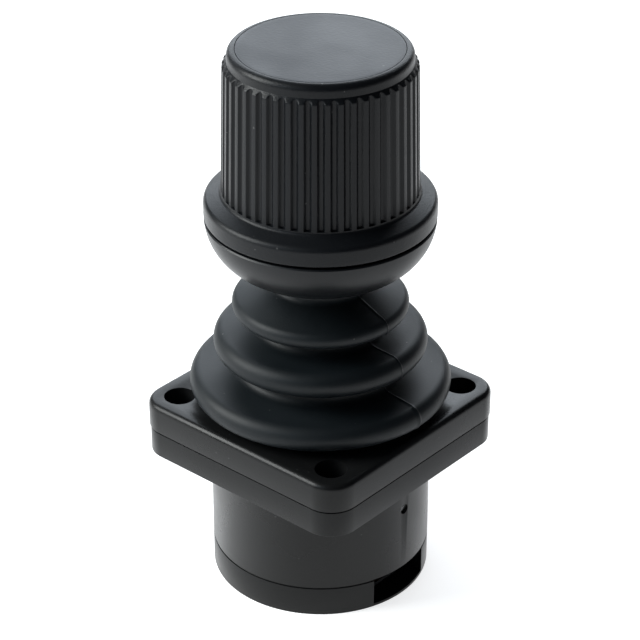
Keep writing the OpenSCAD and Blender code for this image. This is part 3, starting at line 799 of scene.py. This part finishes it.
class JOYSTICK_OT_bezel(bpy.types.Operator):
    """Rounded bezel with its opening and four counterbored holes"""
    bl_idname = "joystick.bezel"
    bl_label = "Bezel"

    def execute(self, context):
        housing = context.scene.joystick_housing
        top = high("bezel")
        joint = high("gate_plate")
        width = 2 * reach("bezel")
        seam, inset = housing.seam, housing.seam_depth
        piece = square_slab("rounded_bezel", width, joint + seam, top,
                            housing.corner_radius, housing.edge_rounding)
        foot = square_slab("bezel_foot", width - 2 * inset, joint, joint + 1.4 * MM,
                           housing.corner_radius - inset, 0)
        cut_away(piece, [foot], "UNION")
        opening = throat() + 0.4 * MM
        tools = [rod("opening", opening, joint - MM, top + MM, sides=192),
                 rod("foot_recess", FOOT_SEAT_R, joint - MM, joint + BOOT_FOOT, sides=192)]
        for place in corners(housing.bolt_place):
            tools.append(rod("bolt", housing.bolt_hole / 2, joint - MM, top + MM, place, 48))
            tools.append(rod("head", housing.bolt_head / 2, top - COUNTERBORE, top + MM,
                             place, 64))
        cut_away(piece, tools)
        soften(piece, 0.22 * MM)
        plastic = moulded("housing plastic", housing.colour, 0.3, 3400, 0.025 * MM, 0.35, 0.05,
                          specular=0.22)
        finish(piece, "root", plastic, "housing_plastic", "bezel")
        return {"FINISHED"}


class JOYSTICK_OT_housing(bpy.types.Operator):
    """Round housing with the flange plate and the two pivot holes"""
    bl_idname = "joystick.housing"
    bl_label = "Housing"

    def execute(self, context):
        housing = context.scene.joystick_housing
        joint = high("gate_plate")
        bottom = low("housing")
        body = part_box("bottom_cover")[1].x
        width = 2 * reach("housing")
        piece = square_slab("flange_housing", width, 0, joint, housing.corner_radius, 0)
        tube = rod("tube", body, bottom, joint / 2, sides=192)
        cut_away(piece, [tube], "UNION")
        bore = body - BODY_WALL
        tools = [rod("bore", bore, bottom - MM, joint + MM, sides=192),
                 rod("gate_seat", FOOT_SEAT_R, low("gate_plate"), joint + MM, sides=192)]
        for place in corners(housing.bolt_place):
            tools.append(rod("bolt", housing.bolt_hole / 2, -MM, joint + MM, place, 48))
        clear_selection()
        bpy.ops.mesh.primitive_cylinder_add(
            vertices=48, radius=PIVOT_HOLE_R, depth=2 * body + 4 * MM,
            location=(0, 0, PIVOT_Z), rotation=(0, math.pi / 2, 0))
        tools.append(added("pivot_hole"))
        cut_away(piece, tools)
        soften(piece, 0.2 * MM)
        finish(piece, "root", bpy.data.materials["housing plastic"], "housing_plastic",
               "housing")
        return {"FINISHED"}


class JOYSTICK_OT_bottom_cover(bpy.types.Operator):
    """Bottom cover with the connector window"""
    bl_idname = "joystick.bottom_cover"
    bl_label = "Bottom cover"

    def execute(self, context):
        base, seam = low("bottom_cover"), low("housing")
        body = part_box("bottom_cover")[1].x
        spigot = body - 2.3 * MM
        piece = rod("window_cover", body, base, seam - context.scene.joystick_housing.seam,
                    sides=192)
        cut_away(piece, [rod("neck", body - 0.25 * MM, base + MM, seam, sides=192),
                         rod("spigot", spigot, base + MM, seam + 2.5 * MM, sides=192)], "UNION")
        outside, above = body + 5 * MM, seam + 5 * MM
        tools = [rod("hollow", spigot - 1.6 * MM, base + COVER_FLOOR, seam + 4 * MM, sides=192),
                 block("window", (WINDOW_DEEP_X, -WINDOW_HALF, base + WINDOW_SILL),
                       (outside, WINDOW_HALF, above)),
                 block("window_floor", (HEADER_X, -WINDOW_HALF, base + COVER_FLOOR),
                       (outside, WINDOW_HALF, above))]
        for place in corners(COVER_SCREWS_AT / math.sqrt(2)):
            tools.append(rod("screw", COVER_SCREW_HEAD_R, base - MM, base + 1.4 * MM, place, 48))
        cut_away(piece, tools)
        soften(piece, 0.18 * MM)
        finish(piece, "root", bpy.data.materials["housing plastic"], "housing_plastic",
               "bottom_cover")
        return {"FINISHED"}


class JOYSTICK_OT_inner_pieces(bpy.types.Operator):
    """Finishes for the carried-over pieces of the mechanism and the electronics"""
    bl_idname = "joystick.inner_pieces"
    bl_label = "Inner pieces"

    def execute(self, context):
        finishes = {
            "steel": metal("steel", (0.56, 0.57, 0.58), 0.3),
            "spring_steel": metal("spring steel", (0.35, 0.35, 0.36), 0.34),
            "contact_metal": metal("contact metal", (0.75, 0.58, 0.3), 0.28),
            "magnet": metal("magnet", (0.2, 0.2, 0.21), 0.4),
            "nylon": moulded("nylon", (0.68, 0.66, 0.6), 0.45, 900, 0.02 * MM, dust=0.5),
            "board_laminate": moulded("board laminate", (0.012, 0.07, 0.03), 0.35, 1200,
                                      0.01 * MM, dust=0.1),
            "chip_plastic": moulded("chip plastic", (0.02, 0.02, 0.022), 0.5, 2500, 0.01 * MM),
            "lead_jacket": moulded("lead jacket", (0.02, 0.02, 0.02), 0.5, 1500, 0.01 * MM),
            "housing_plastic": bpy.data.materials["housing plastic"],
        }
        for part in frame["record"]["subparts"]:
            node = NODES[part["node"]]
            if part["material_slot"] in finishes and not node.hide_render:
                dress(node, finishes[part["material_slot"]])
        return {"FINISHED"}


# ---- Stage ----

class JOYSTICK_OT_stage(bpy.types.Operator):
    """Floor, soft studio light and camera"""
    bl_idname = "joystick.stage"
    bl_label = "Stage"

    def execute(self, context):
        stage = context.scene.joystick_stage
        context.scene.view_settings.view_transform = "Standard"
        self.floor(stage)
        self.world(context.scene)
        self.lamps(stage)
        self.camera(context.scene, stage)
        return {"FINISHED"}

    def floor(self, stage):
        clear_selection()
        bpy.ops.mesh.primitive_plane_add(size=60, location=(0, 0, CAD_BOX[0][2]))
        plane = added("floor")
        material = bpy.data.materials.new("white floor")
        material.use_nodes = True
        tree = material.node_tree
        shader = tree.nodes["Principled BSDF"]
        shader.inputs["Base Color"].default_value = (0.8, 0.8, 0.8, 1)
        shader.inputs["Roughness"].default_value = 0.9
        shader.inputs["Specular IOR Level"].default_value = 0
        shader.inputs["Emission Color"].default_value = (1, 1, 1, 1)
        rays = tree.nodes.new("ShaderNodeLightPath")
        seen = maths(tree, "MAXIMUM", rays.outputs["Is Camera Ray"],
                     maths(tree, "MAXIMUM", rays.outputs["Is Glossy Ray"],
                           rays.outputs["Is Transmission Ray"]))
        place = tree.nodes.new("ShaderNodeTexCoord").outputs["Object"]
        away = joined(tree, "ShaderNodeVectorMath", [(0, place)], operation="LENGTH")
        glow = joined(tree, "ShaderNodeMapRange",
                      [("Value", away.outputs["Value"]), ("From Min", 0.15), ("From Max", 0.5),
                       ("To Min", stage.floor_glow), ("To Max", 1.0)])
        tree.links.new(maths(tree, "MULTIPLY", seen, glow.outputs[0]),
                       shader.inputs["Emission Strength"])
        dress(plane, material)

    def world(self, scene):
        """A dim grey room; seen from above, the floor reaches beyond the picture."""
        world = bpy.data.worlds.new("studio")
        scene.world = world
        world.use_nodes = True
        room = world.node_tree.nodes["Background"]
        room.inputs["Color"].default_value = (0.05, 0.053, 0.06, 1)

    def lamps(self, stage):
        """Softboxes around the joystick: degrees to the camera's left, degrees up, and size."""
        away = 0.9
        target = Vector((0, 0, 30 * MM))
        for name, aside, rise, size, colour, radiance in (
                ("back", 180, 28, (1.0, 0.62), (0.86, 0.93, 1.0), stage.back_light),
                ("side", 88, 32, (0.5, 0.55), (0.97, 1.0, 0.99), stage.side_light),
                ("front", 50, 35, (0.4, 0.4), (0.7, 0.85, 1.0), stage.front_light)):
            turn = stage.camera_turn - math.pi / 2 - math.radians(aside)
            level = away * math.cos(math.radians(rise))
            place = target + Vector((level * math.cos(turn), level * math.sin(turn),
                                     away * math.sin(math.radians(rise))))
            clear_selection()
            bpy.ops.object.light_add(type="AREA", location=place)
            lamp = bpy.context.object
            lamp.name = name
            lamp.data.shape = "RECTANGLE"
            lamp.data.size, lamp.data.size_y = size
            lamp.data.color = colour
            lamp.data.energy = radiance * math.pi * size[0] * size[1]
            lamp.rotation_euler = (target - place).to_track_quat("-Z", "Y").to_euler()

    def camera(self, scene, stage):
        clear_selection()
        turn = stage.camera_turn
        bpy.ops.object.camera_add(location=(stage.camera_distance * math.sin(turn),
                                            -stage.camera_distance * math.cos(turn),
                                            stage.camera_height))
        camera = bpy.context.object
        camera.name = "camera"
        camera.rotation_euler = (math.pi / 2 - stage.camera_pitch, 0, turn)
        camera.data.shift_x = -0.0009
        camera.data.lens = stage.lens
        camera.data.clip_start = 10 * MM
        scene.camera = camera


# ---- Add-on ----

class JOYSTICK_PT_panel(bpy.types.Panel):
    """The steps that build the joystick, in order"""
    bl_idname = "JOYSTICK_PT_panel"
    bl_label = "Panel joystick"
    bl_space_type = "VIEW_3D"
    bl_region_type = "UI"
    bl_category = "Joystick"

    def draw(self, context):
        for step in STEPS:
            self.layout.operator(step.bl_idname)
        for name in SETTINGS:
            settings = getattr(context.scene, name)
            for key in settings.bl_rna.properties.keys():
                if key not in ("rna_type", "name"):
                    self.layout.prop(settings, key)


STEPS = (JOYSTICK_OT_knob_shell, JOYSTICK_OT_knob_cap, JOYSTICK_OT_handle_cup,
         JOYSTICK_OT_boot, JOYSTICK_OT_bezel, JOYSTICK_OT_housing, JOYSTICK_OT_bottom_cover,
         JOYSTICK_OT_inner_pieces, JOYSTICK_OT_stage)
SETTINGS = {"joystick_knob": KnobSettings, "joystick_boot": BootSettings,
            "joystick_housing": HousingSettings, "joystick_stage": StageSettings}


def register():
    for settings in SETTINGS.values():
        bpy.utils.register_class(settings)
    for cls in STEPS + (JOYSTICK_PT_panel,):
        bpy.utils.register_class(cls)
    for name, settings in SETTINGS.items():
        setattr(bpy.types.Scene, name, PointerProperty(type=settings))


def unregister():
    for name in SETTINGS:
        delattr(bpy.types.Scene, name)
    for cls in (JOYSTICK_PT_panel,) + STEPS[::-1]:
        bpy.utils.unregister_class(cls)
    for settings in SETTINGS.values():
        bpy.utils.unregister_class(settings)


def main():
    register()
    bpy.ops.joystick.knob_shell()
    bpy.ops.joystick.knob_cap()
    bpy.ops.joystick.handle_cup()
    bpy.ops.joystick.boot()
    bpy.ops.joystick.bezel()
    bpy.ops.joystick.housing()
    bpy.ops.joystick.bottom_cover()
    bpy.ops.joystick.inner_pieces()
    bpy.ops.joystick.stage()
    clear_selection()


if __name__ == "__main__":
    main()
